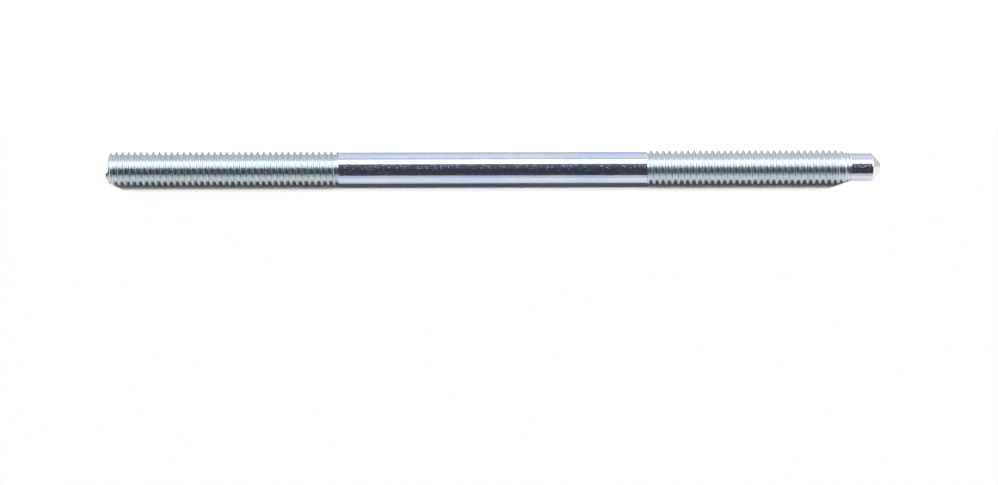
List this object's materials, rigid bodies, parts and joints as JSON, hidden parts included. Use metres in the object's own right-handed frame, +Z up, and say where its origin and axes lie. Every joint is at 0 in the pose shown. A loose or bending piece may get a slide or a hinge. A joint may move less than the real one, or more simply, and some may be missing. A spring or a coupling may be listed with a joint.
{
  "type": "cylinder stud",
  "caption": "Long steel stud with a thread at each end, a plain reduced shank and a cone-tipped pilot that guides it into its nut or hole.",
  "frame": {"origin": "centre of the flat face of the plain threaded end", "axes": "+X along the stud's axis towards the cone tip, +Z up as the stud lies"},
  "size_m": [0.1778, 0.0078, 0.0078],
  "materials": {
    "zinc_plate": "bright zinc plate with a clear blue passivate, faintly iridescent"
  },
  "bodies": {
    "root": {"stud": "zinc_plate"}
  },
  "joints": []
}
